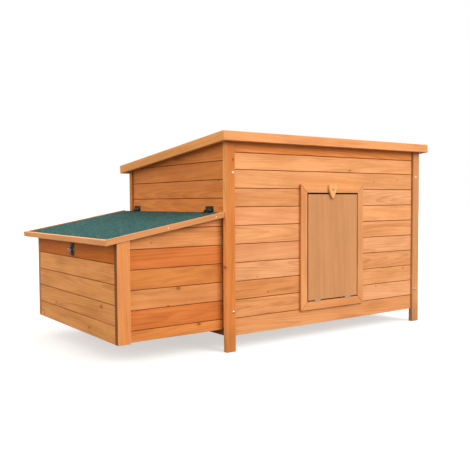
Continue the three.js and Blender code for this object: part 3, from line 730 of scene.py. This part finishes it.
# boards from the bottom row up, and from left to right where the doorway cuts a row
FRONT_TINTS = [
    [TAN],
    [TAN, PALE, HONEY],
    [UMBER, HONEY],
    [PALE, lit(HONEY, 0.96)],
    [lit(ROSE, 0.97), PALE],
    [HONEY, HONEY],
    [lit(ROSE, 1.04), lit(HONEY, 1.07)],
    [TAN, lit(PALE, 1.04), HONEY],
    [lit(HONEY, 1.04)],
    [lit(HONEY, 1.1)],
    # the header row under the roof's fascia: painted warm shade
    [lit(WARM_ROOF_SHADE, 1.03)],
]
FRONT_STAINS = {(0, 0): 0.15, (1, 0): 0.5, (2, 0): 0.55, (3, 0): 0.15, (1, 1): 0.15, (2, 1): 0.4,
                (4, 0): 0, (4, 1): 0, (5, 0): 0, (5, 1): 0.1, (6, 0): 0, (6, 1): 0, (7, 0): 0.3,
                (7, 1): 0.1, (8, 0): 0.2, (9, 0): 0.1, (10, 0): 0}
NEST_SIDE_TINTS = [[AMBER], [RUST], [UMBER], [AMBER], [lit(RUST, 1.02)], [lit(UMBER, 1.08)]]
# the four lower rows, turned to the left, take a lighter copy: painted light; the top row is a darker board with the
# lid's shadow painted on
NEST_END_TINTS = [[lit(LEFT_FACE_LIT, 0.98)], [lit(LEFT_FACE_LIT, 0.98)], [lit(LEFT_FACE_LIT, 1.03)], [lit(LEFT_FACE_LIT, 1.1)], [DARK_BOARD_LID_SHADE]]
# the bottom board, in the shadow of the nest box, is painted shade; the rows above the lid take the warm tone, painted
# shade under the roof's overhang
LEFT_TINTS = [[SHADED], [], [], [], [], [], [lit(WARM_ROOF_SHADE, 0.93)], [WARM_ROOF_SHADE], [lit(WARM_ROOF_SHADE, 0.94)], [lit(WARM_ROOF_SHADE, 0.93)],
              [lit(WARM_ROOF_SHADE, 1.04)]]

# knots of a board, by row and cell: shares of its length and height, and radius in millimetres
FRONT_KNOTS = {(1, 1): [(0.35, 0.85, 2.4)], (2, 0): [(0.45, 0.25, 2.2)], (2, 1): [(0.85, 0.85, 3.2)],
               (3, 0): [(0.3, 0.15, 1.6)], (6, 0): [(0.05, 0.45, 1.2)], (8, 0): [(0.75, 0.45, 1.8), (0.9, 0.6, 1.6)],
               (9, 0): [(0.6, 0.15, 4.0)], (10, 0): [(0.35, 0.15, 2.0)]}
NEST_END_KNOTS = {(0, 0): [(0.3, 0.4, 3.6), (0.95, 0.2, 3.0)], (1, 0): [(0.75, 0.2, 3.2), (0.15, 0.75, 5.0)],
                  (2, 0): [(0.4, 0.85, 1.6)], (4, 0): [(0.85, 0.4, 2.6)]}
NEST_SIDE_KNOTS = {(0, 0): [(0.75, 0.85, 4.5)], (2, 0): [(0.55, 0.9, 5.5), (0.45, 0.05, 2.4)], (5, 0): [(0.3, 0.3, 2.0)]}
LEFT_KNOTS = {(7, 0): [(0.5, 0.1, 4.0)], (8, 0): [(0.05, 0.95, 2.2)]}

RISE = 5.0 * MM  # the top boards stand this far up into the slot under the roof
Wall("front_wall", FRONT, RISE).build("front_boards", FRONT_TINTS, 11, stains=FRONT_STAINS, knots=FRONT_KNOTS)
Wall("rear_wall", REAR).build("rear_boards", None, 12)
Wall("left_wall", LEFT, RISE).build("left_boards", LEFT_TINTS, 13, knots=LEFT_KNOTS)
Wall("right_wall", RIGHT, RISE).build("right_boards", None, 14)
Wall("nest_front_wall", FRONT).build("nest_front_boards", NEST_SIDE_TINTS, 15, knots=NEST_SIDE_KNOTS)
Wall("nest_rear_wall", REAR).build("nest_rear_boards", NEST_SIDE_TINTS, 16)
Wall("nest_end_wall", LEFT).build("nest_end_boards", NEST_END_TINTS, 17, knots=NEST_END_KNOTS)

# ---------- posts, trims and frames ----------

FIR = "stained_fir"
FOOT = (0.06, 0.8)  # height under which a post is darker, and how much
low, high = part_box("post_front_left")
# the post's left face takes a lighter, yellower copy of its tone: painted light
timber(["post_front_left"], STAINED, "house", FIR, FRONT, 21, base=AMBER, quarter=True,
       side=(LEFT, lit(LEFT_FACE_LIT, 1.26)), cut_every=0.05, foot=FOOT,
       knots=[(Vector((low.x + 30 * MM, low.y, high.z * 0.9)), 3.4 * MM), (Vector((low.x, low.y + 4 * MM, high.z * 0.4)), 2.2 * MM)])
timber(["post_front_right"], STAINED, "house", FIR, FRONT, 29, base=lit(HONEY, 0.84), quarter=True, knots=[],
       cut_every=0.05, foot=FOOT)
timber(["post_rear_left", "post_rear_right"], STAINED, "house", FIR, REAR, 22,
       base=UMBER, quarter=True)
# the nest post's left face is darkened: painted shade
timber(["nest_post_front"], STAINED, "house", FIR, FRONT, 23, base=lit(UMBER, 1.04), quarter=True, knots=[],
       side=(LEFT, lit(SHADED, 1.25)))
timber(["nest_post_rear"], STAINED, "house", FIR, REAR, 24, base=UMBER, quarter=True)
# edge=-1.0 darkens the frame's rims: painted contact shadow round the doorway
timber(["door_frame_top"], STAINED, "house", FIR, FRONT, 25, base=lit(HONEY, 1.08), quarter=True, knots=[],
       edge=-1.0)
timber(["door_frame_bottom", "door_frame_left", "door_frame_right"], STAINED, "house", FIR, FRONT, 28,
       base=[TAN, lit(HONEY, 0.98), lit(TAN, 0.96)], quarter=True, knots=[], edge=-1.0)
# the left fascia takes a lighter, yellower copy than the other three: painted light
timber(["roof_fascia_front", "roof_fascia_rear", "roof_fascia_left", "roof_fascia_right"], STAINED,
       "main_roof", FIR, [FRONT, REAR, LEFT, RIGHT], 26,
       base=[lit(TAN, 1.08), lit(TAN, 1.08), lit(LEFT_FACE_LIT, 1.14), lit(TAN, 1.08)],
       bevel=1.4 * MM, quarter=True, knots=[])
timber(["lid_fascia_front", "lid_fascia_rear"], STAINED, "nest_lid", FIR, [FRONT, REAR], 27,
       base=lit(TAN, 0.89), bevel=1.2 * MM, quarter=True, knots=[])
# the outer fascia, turned to the left, is far lighter than the front and rear ones: painted light
timber(["lid_fascia_outer"], STAINED, "nest_lid", FIR, LEFT, 30, base=lit(HONEY, 1.26), bevel=1.2 * MM,
       quarter=True, knots=[])

# ---------- hidden boards and plywood ----------

timber(["floor_panel", "nest_floor"], BARE_PLY, "house", "inner_wood", Z_AXIS, 31, bevel=0.5 * MM, edge=0.0)
timber(["nest_divider"], BARE_PLY, "house", "inner_wood", FRONT, 32, bevel=0.5 * MM, edge=0.0)
timber(["floor_bearer_front", "floor_bearer_rear"], BARE, "house", "inner_wood", FRONT, 33, edge=0.0)
timber(["perch_bar"], BARE, "house", "inner_wood", Z_AXIS, 34, edge=0.0)
timber(["roof_sheet"], BARE_PLY, "main_roof", "inner_wood", -roof_up, 35, bevel=0.4 * MM, edge=0.0)
timber(["lid_sheet"], BARE_PLY, "nest_lid", "inner_wood", -lid_up, 36, bevel=0.4 * MM, edge=0.0)
timber(["ramp_panel"], PLYWOOD, "ramp_door", "plywood", FRONT, 37, bevel=0.6 * MM, edge=0.0,
       along=Z_AXIS, knots=[])
timber(["ramp_cleat_1", "ramp_cleat_2", "ramp_cleat_3"], BARE, "ramp_door", "inner_wood", REAR, 38,
       bevel=1.5 * MM, edge=0.0)


# ---------- felt ----------


def felt_sheet(node, body, seed):
    """A sheet that lies a little unevenly over its plywood, with a cut edge all round."""
    corners = flat_top(node)
    up = plane_of(corners)
    p0, p1, p2, p3 = corners
    step = 12 * MM
    count_a = max(2, round((p1 - p0).length / step))
    count_b = max(2, round((p3 - p0).length / step))
    thick = 1.9 * MM
    bm = bmesh.new()
    grids = []
    for layer in (0, 1):
        grid = []
        for i in range(count_a + 1):
            row = []
            for k in range(count_b + 1):
                a, b = i / count_a, k / count_b
                spot = p0.lerp(p1, a).lerp(p3.lerp(p2, a), b)
                swell = noise.noise(Vector((spot.x * 14 + seed, spot.y * 14, 0)))
                swell += 0.5 * noise.noise(Vector((spot.x * 45, spot.y * 45 + seed, 4)))
                drop = thick if layer else 0.55 * MM * (1 - max(-1.0, min(1.0, swell))) / 2
                row.append(bm.verts.new(spot - up * drop))
            grid.append(row)
        grids.append(grid)
    for grid in grids:
        for i in range(count_a):
            for k in range(count_b):
                bm.faces.new((grid[i][k], grid[i + 1][k], grid[i + 1][k + 1], grid[i][k + 1]))
    rim = [(i, 0) for i in range(count_a)] + [(count_a, k) for k in range(count_b)]
    rim += [(i, count_b) for i in range(count_a, 0, -1)] + [(0, k) for k in range(count_b, 0, -1)]
    for (i, k), (m, n) in zip(rim, rim[1:] + rim[:1]):
        bm.faces.new((grids[0][i][k], grids[0][m][n], grids[1][m][n], grids[1][i][k]))
    bmesh.ops.recalc_face_normals(bm, faces=bm.faces)
    mesh = bpy.data.meshes.new(node)
    bm.to_mesh(mesh)
    bm.free()
    piece = finish_piece(mesh, f"{node}_sheet", FELT, body, [node])
    mesh.set_sharp_from_angle(angle=math.radians(50))
    piece.modifiers["even_normals"].keep_sharp = True


felt_sheet("roof_felt", "main_roof", 3)
felt_sheet("lid_felt", "nest_lid", 7)


# ---------- turn button ----------


def heart_button():
    """The heart, with a soft round-over on its front edge."""
    low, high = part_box("turn_button")
    pivot = Vector(joints["turn_button_pivot"]["pos_m"])
    front = [v.co for v in nodes["turn_button"].data.vertices if abs(v.co.y - low.y) < 0.1 * MM]
    rim = [p for p in front if math.hypot(p.x - pivot.x, p.z - pivot.z) > 4 * MM]
    middle = Vector((pivot.x, 0, low.z + (high.z - low.z) * 0.6))
    ordered = {}
    for p in rim:
        ordered[round(math.atan2(p.z - middle.z, p.x - middle.x), 4)] = Vector((p.x, p.z))
    loop = [ordered[key] for key in sorted(ordered)]
    count = len(loop)
    inward = []
    for i in range(count):
        tangent = (loop[(i + 1) % count] - loop[i - 1]).normalized()
        inward.append(Vector((-tangent.y, tangent.x)))
    soft = 2.4 * MM
    bm = bmesh.new()
    rings = []
    depth = high.y - low.y
    profile = [(0.8 * MM, depth), (0.2 * MM, depth - 0.2 * MM), (0.0, depth - 0.8 * MM)]
    for k in range(7):
        angle = math.pi / 2 * k / 6
        profile.append((soft * (1 - math.cos(angle)), soft * (1 - math.sin(angle))))
    for inset, y in profile:
        ring = [p + n * inset for p, n in zip(loop, inward)]
        rings.append([bm.verts.new((p.x, low.y + y, p.y)) for p in ring])
    for a, b in zip(rings, rings[1:]):
        for i in range(count):
            n = (i + 1) % count
            bm.faces.new((a[i], a[n], b[n], b[i]))
    bm.faces.new(rings[0])
    bm.faces.new(rings[-1])
    bmesh.ops.recalc_face_normals(bm, faces=bm.faces)
    return bm


button = Timber(41)
button.add(heart_button(), Z_AXIS, FRONT, tint=(1.06, 1.24, 1.19), bevel=0.0, edge=0.0, knots=[], quarter=True)
button.piece("heart_button", STAINED, "turn_button", ["turn_button"], FIR)

low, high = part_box("turn_button_screw")
smith = Smith()
pivot = (low + high) / 2
smith.screw(Vector((pivot.x, low.y + 2 * MM, pivot.z)), FRONT, (high.x - low.x) / 2, 2.0 * MM, turn=0.5)
smith.barrel(Vector((pivot.x, (low.y + high.y) / 2 + 1.2 * MM, pivot.z)), Y_AXIS, 2.2 * MM, high.y - low.y - 2.4 * MM)
smith.piece("button_screw", BRASS, "house", ["turn_button_screw"], "zinc")

# ---------- screws and nails ----------

# the upper screw heads take the pale zinc as a painted reflection of the lamp, the lower ones plain zinc
for level, material in (("upper", PALE_ZINC_GLINT), ("lower", ZINC)):
    for side in ("left", "right"):
        node = f"post_screw_{side}_{level}"
        low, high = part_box(node)
        middle = (low + high) / 2
        smith = Smith()
        smith.screw(Vector((middle.x, high.y, middle.z)), FRONT, (high.x - low.x) / 2, high.y - low.y,
                    turn=0.4 if side == "left" else 1.0)
        smith.piece(f"{node}_head", material, "house", [node], "zinc")


def nails(name, body, places, out, radius=2.1 * MM):
    smith = Smith()
    for place in places:
        smith.lathe(place, out, [(0, 0.35 * MM), (radius * 0.6, 0.3 * MM), (radius, 0.12 * MM), (radius, -0.6 * MM),
                                 (0, -0.6 * MM)], 20)
    smith.piece(name, PALE_ZINC_GLINT, body, slot="zinc")


def on_top_edge(node, x=None, y=None, drop=0.0):
    """A point on a sloping trim's outer face, drop below its top edge."""
    low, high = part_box(node)
    if x is not None:
        share = (x - low.x) / (high.x - low.x)
        ends = [max(v.co.z for v in nodes[node].data.vertices if abs(v.co.x - end) < 6 * MM)
                for end in (low.x, high.x)]
        return Vector((x, low.y, ends[0] + (ends[1] - ends[0]) * share - drop))
    return Vector((low.x, y, high.z - drop))


low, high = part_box("lid_fascia_front")
span = high.x - low.x
nails("lid_trim_nails", "nest_lid", [on_top_edge("lid_fascia_front", x=low.x + span * s, drop=10 * MM)
                                     for s in (0.5, 0.92)], FRONT)

# ---------- hinges ----------


def hinge_spots(prefix):
    """Middle of each numbered leaf along its pin."""
    spots = []
    for i in (1, 2):
        low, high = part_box(f"{prefix}_{i}_{LEAVES[prefix]}")
        spots.append((low + high) / 2)
    return spots


LEAVES = {"lid_hinge": "wall_leaf", "roof_hinge": "wall_leaf", "ramp_hinge": "frame_leaf"}

lid_axis = Vector(joints["nest_lid_hinge"]["pos_m"])
lid_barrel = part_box("left_wall")[0].x - 0.3 * MM - lid_axis.x
for i, spot in enumerate(hinge_spots("lid_hinge"), 1):
    origin = Vector((lid_axis.x, spot.y, lid_axis.z))
    holes = [(-0.3, 11 * MM, 2.5 * MM), (0.3, 11 * MM, 2.5 * MM)]
    hinge_half(f"lid_hinge_{i}_wall", f"lid_hinge_{i}_wall_leaf", "house", origin, Y_AXIS, Z_AXIS, X_AXIS,
               50 * MM, 16 * MM, lid_barrel, 1.4 * MM, True, DARK, "dark_steel", holes)
    holes = [(-0.3, 13 * MM, 2.5 * MM), (0.3, 13 * MM, 2.5 * MM)]
    hinge_half(f"lid_hinge_{i}_lid", f"lid_hinge_{i}_lid_leaf", "nest_lid", origin, Y_AXIS, lid_out, -lid_up,
               50 * MM, 19 * MM, lid_barrel, 1.4 * MM, False, DARK, "dark_steel", holes)

roof_axis = Vector(joints["main_roof_hinge"]["pos_m"])
roof_barrel = roof_axis.y - 0.3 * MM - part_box("rear_wall")[1].y
for i, spot in enumerate(hinge_spots("roof_hinge"), 1):
    origin = Vector((spot.x, roof_axis.y, roof_axis.z))
    holes = [(-0.3, 17 * MM, 2.8 * MM), (0.3, 17 * MM, 2.8 * MM)]
    hinge_half(f"roof_hinge_{i}_wall", f"roof_hinge_{i}_wall_leaf", "house", origin, X_AXIS, -Z_AXIS, FRONT,
               50 * MM, 26 * MM, roof_barrel, 1.5 * MM, True, DARK, "dark_steel", holes)
    holes = [(-0.3, 34 * MM, 2.8 * MM), (0.3, 34 * MM, 2.8 * MM)]
    hinge_half(f"roof_hinge_{i}_roof", f"roof_hinge_{i}_roof_leaf", "main_roof", origin, X_AXIS, roof_back, roof_up,
               50 * MM, 42 * MM, roof_barrel, 1.5 * MM, False, DARK, "dark_steel", holes)

ramp_axis = Vector(joints["ramp_door_hinge"]["pos_m"])
for i, spot in enumerate(hinge_spots("ramp_hinge"), 1):
    origin = Vector((spot.x, ramp_axis.y, ramp_axis.z))
    hinge_half(f"ramp_hinge_{i}_frame", f"ramp_hinge_{i}_frame_leaf", "house", origin, X_AXIS, Y_AXIS, -Z_AXIS,
               30 * MM, 11 * MM, 2.0 * MM, 1.2 * MM, True, ZINC, "zinc", [])
    hinge_half(f"ramp_hinge_{i}_door", f"ramp_hinge_{i}_door_leaf", "ramp_door", origin, X_AXIS, Y_AXIS, Z_AXIS,
               30 * MM, 11 * MM, 2.0 * MM, 1.2 * MM, False, ZINC, "zinc", [])

# ---------- hasp ----------

hasp_axis = Vector(joints["hasp_strap_hinge"]["pos_m"])
hinge_half("hasp_base_leaf", "hasp_base", "nest_lid", hasp_axis, Y_AXIS, lid_out, lid_up,
           22 * MM, 14 * MM, 2.6 * MM, 1.6 * MM, True, DARK, "dark_steel", [])


def hasp_strap():
    """A strap with a round end and a long slot, pressed from one plate."""
    low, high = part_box("hasp_strap")
    middle_y = (low.y + high.y) / 2
    half = (high.y - low.y) / 2
    steps = 20
    outer, inner = [], []
    drop0, drop1 = 6 * MM, hasp_axis.z - low.z
    near, far, slot_half = 24.5 * MM, 47.5 * MM, 3.5 * MM
    round_r = 8 * MM
    for k in range(4 * steps):
        angle = 2 * math.pi * (k + 0.5) / (4 * steps)
        c, s = math.cos(angle), math.sin(angle)
        # superellipse for the plate, capsule for the slot
        reach_a = half / abs(c) if abs(c) > 1e-6 else 1e9
        mid_out, half_out = (drop0 + drop1) / 2, (drop1 - drop0) / 2
        reach_b = half_out / abs(s) if abs(s) > 1e-6 else 1e9
        reach = min(reach_a, reach_b)
        a, b = reach * c, reach * s
        if b > 0:
            ca, cb = half - round_r, half_out - round_r
            if abs(a) > ca and b > cb:
                d = Vector((abs(a) - ca, b - cb)).normalized() * round_r
                a, b = math.copysign(ca + d.x, a), cb + d.y
        outer.append((a, mid_out + b))
        mid_in, half_in = (near + far) / 2, (far - near) / 2 - slot_half
        inner.append((slot_half * c, mid_in + slot_half * s + (half_in if s > 0 else -half_in)))
    plate0, plate1 = (2.6 - 1.6) * MM, 2.6 * MM
    bm = bmesh.new()
    loops = []
    for loop, depth in ((outer, plate0), (inner, plate0), (inner, plate1), (outer, plate1)):
        loops.append([bm.verts.new((hasp_axis.x + depth, middle_y + a, hasp_axis.z - b)) for a, b in loop])
    n = len(outer)
    for first, second in ((0, 1), (1, 2), (2, 3), (3, 0)):
        for k in range(n):
            m = (k + 1) % n
            bm.faces.new((loops[first][k], loops[first][m], loops[second][m], loops[second][k]))
    bmesh.ops.recalc_face_normals(bm, faces=bm.faces)
    bevel_sharp(bm, 0.2 * MM, 2)
    return bm


smith = Smith()
smith.merge(hasp_strap())
smith.barrel(hasp_axis, Y_AXIS, 2.6 * MM, 0.4 * 22 * MM - 0.4 * MM)
smith.plate(hasp_axis, Y_AXIS, -Z_AXIS, X_AXIS, 8.4 * MM, 0, 7 * MM, 1.0 * MM, 2.6 * MM, corner=0.1 * MM)
smith.piece("hasp_strap_plate", DARK, "hasp_strap", ["hasp_strap"], "dark_steel")

low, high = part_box("hasp_plate")
middle = (low + high) / 2
smith = Smith()
half = (high.y - low.y) / 2
for side in (1, -1):
    smith.plate(Vector((high.x, middle.y, middle.z)), Z_AXIS, Y_AXIS * side, LEFT, high.z - low.z, 0.0, half,
                0.0, high.x - low.x, corner=4 * MM)
    smith.screw(Vector((low.x, middle.y + side * half * 0.72, middle.z)), LEFT, 2.6 * MM, 0.9 * MM, turn=side)
smith.piece("hasp_wall_plate", ZINC, "house", ["hasp_plate"], "zinc")



def swivel_eye():
    """An upright oval ring of round wire on a short pin."""
    low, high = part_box("hasp_knob")
    middle = (low + high) / 2
    wire = (high.y - low.y) / 2
    inner = low.x + 11.4 * MM
    centre = Vector(((low.x + inner) / 2, middle.y, middle.z))
    reach_x, reach_z = (inner - low.x) / 2 - wire * 0.75, (high.z - low.z) / 2 - wire * 0.75
    bm = bmesh.new()
    rings, sides = 40, 14
    loops = []
    for i in range(rings):
        turn = 2 * math.pi * i / rings
        hub = centre + Vector((reach_x * math.cos(turn), 0, reach_z * math.sin(turn)))
        away = Vector((reach_z * math.cos(turn), 0, reach_x * math.sin(turn))).normalized()
        loop = []
        for k in range(sides):
            angle = 2 * math.pi * k / sides
            spot = away * math.cos(angle) * wire * 0.75 + Y_AXIS * math.sin(angle) * wire
            loop.append(bm.verts.new(hub + spot))
        loops.append(loop)
    for i, loop in enumerate(loops):
        after = loops[(i + 1) % rings]
        for k in range(sides):
            n = (k + 1) % sides
            bm.faces.new((loop[k], loop[n], after[n], after[k]))
    bmesh.ops.recalc_face_normals(bm, faces=bm.faces)
    smith = Smith()
    smith.merge(bm)
    start = inner - wire * 0.75
    smith.barrel(Vector(((start + high.x) / 2, middle.y, middle.z)), X_AXIS, 2.2 * MM, high.x - start)
    smith.piece("hasp_swivel_eye", ZINC, "hasp_knob", ["hasp_knob"], "zinc")


swivel_eye()

# ---------- stage, light and camera ----------


def stage():
    bpy.ops.mesh.primitive_plane_add(size=40)
    floor = bpy.context.object
    floor.name = "floor"
    floor.data.materials.append(floor_material())
    floor.visible_diffuse = False
    floor.visible_glossy = False
    floor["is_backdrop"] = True

    # the sky is brightest overhead and dim below, and plain white to the camera
    g = Graph("studio", bpy.data.worlds)
    height = g.split(g.add("ShaderNodeTexCoord").outputs["Generated"])[2]
    dome = g.range(height, 0.0, 1.0, 0.72, 1.2, smooth=False)
    dome = g.mix(g.range(height, -0.08, 0.02), (0.3, 0.29, 0.28), g.combine(dome, dome, dome))
    seen = g.add("ShaderNodeLightPath").outputs["Is Camera Ray"]
    sky = g.add("ShaderNodeBackground", {"Color": g.mix(seen, dome, (1.0, 1.0, 1.0))})
    g.tree.links.new(sky.outputs[0], g.add("ShaderNodeOutputWorld").inputs["Surface"])
    bpy.context.scene.world = g.owner

    # a soft key from the front right, and a weak warm fill from the left
    for name, energy, angle, colour, way in (
            ("key", 2.3, 38, (1.0, 0.985, 0.96), (0.29, -0.81, 0.5)),
            ("fill", 0.75, 50, (1.0, 0.82, 0.5), (-0.86, -0.2, 0.52))):
        lamp = bpy.data.lights.new(name, "SUN")
        lamp.energy, lamp.angle, lamp.color = energy, math.radians(angle), colour
        holder = bpy.data.objects.new(name, lamp)
        holder.rotation_mode = "QUATERNION"
        holder.rotation_quaternion = Vector(way).to_track_quat("Z", "Y")
        bpy.context.scene.collection.objects.link(holder)


def camera():
    """The fitted camera: its place, and yaw from +Y towards +X, pitch and roll."""
    lens = bpy.data.cameras.new("camera")
    lens.sensor_width = 36
    lens.lens = 49.52
    view = bpy.data.objects.new("camera", lens)
    yaw, pitch, roll = math.radians(35.66), math.radians(2.96), math.radians(-0.333)
    ahead = Vector((math.sin(yaw) * math.cos(pitch), math.cos(yaw) * math.cos(pitch), -math.sin(pitch)))
    level = Vector((math.cos(yaw), -math.sin(yaw), 0))
    above = level.cross(ahead)
    right = level * math.cos(roll) + above * math.sin(roll)
    up = above * math.cos(roll) - level * math.sin(roll)
    turn = Matrix((right, up, -ahead)).transposed()
    view.matrix_world = Matrix.Translation((-1.568, -2.198, 0.5243)) @ turn.to_4x4()
    bpy.context.scene.collection.objects.link(view)
    bpy.context.scene.camera = view


stage()
camera()
bpy.context.scene.view_settings.view_transform = "Standard"

bpy.context.view_layer.update()
boxes = {"cad": cad_box, "visual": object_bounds()}
{key: [list(corner) for corner in box] for key, box in boxes.items()}
